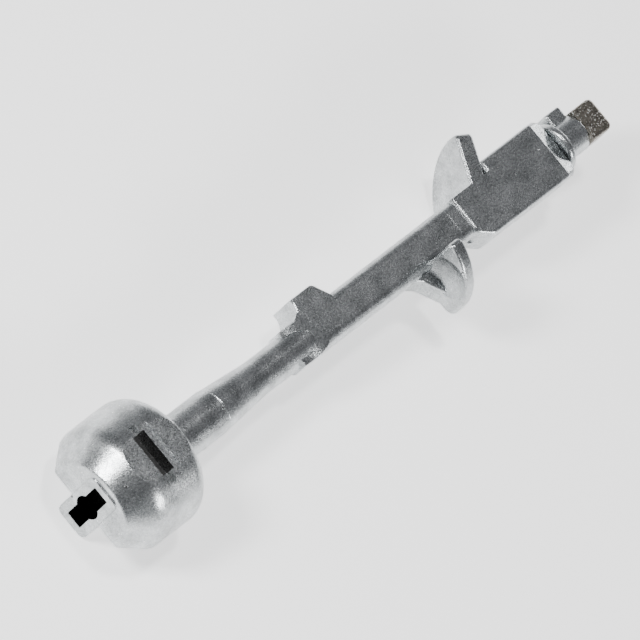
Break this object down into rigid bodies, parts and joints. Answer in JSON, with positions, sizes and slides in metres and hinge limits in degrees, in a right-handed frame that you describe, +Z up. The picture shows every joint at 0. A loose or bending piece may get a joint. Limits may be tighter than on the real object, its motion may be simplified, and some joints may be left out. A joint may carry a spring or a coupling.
{
  "type": "fire hydrant wrench",
  "caption": "Multi-purpose hydrant and coupling wrench: half-drum socket head with a square, shank with heel and claws, flat blade and square drive tip.",
  "frame": {"origin": "where the hydrant square's axis meets the tool's long axis", "axes": "+X along the tool from the head to the drive tip, +Z up out of the head's roof, +Y towards the heel"},
  "size_m": [0.2881, 0.0526, 0.0485],
  "materials": {
    "zinc_plate": "zinc plated casting, satin with grain",
    "tip_steel": "bare hardened steel, dark and speckled",
    "pin_steel": "bare steel pin end"
  },
  "bodies": {
    "root": {"socket_head": "zinc_plate", "claw_shank": "zinc_plate", "claw_blade": "zinc_plate", "end_collar": "zinc_plate", "drive_tip": "tip_steel", "head_pin": "pin_steel", "blade_pin": "pin_steel", "collar_pin": "pin_steel", "tip_pin": "pin_steel"}
  },
  "joints": []
}
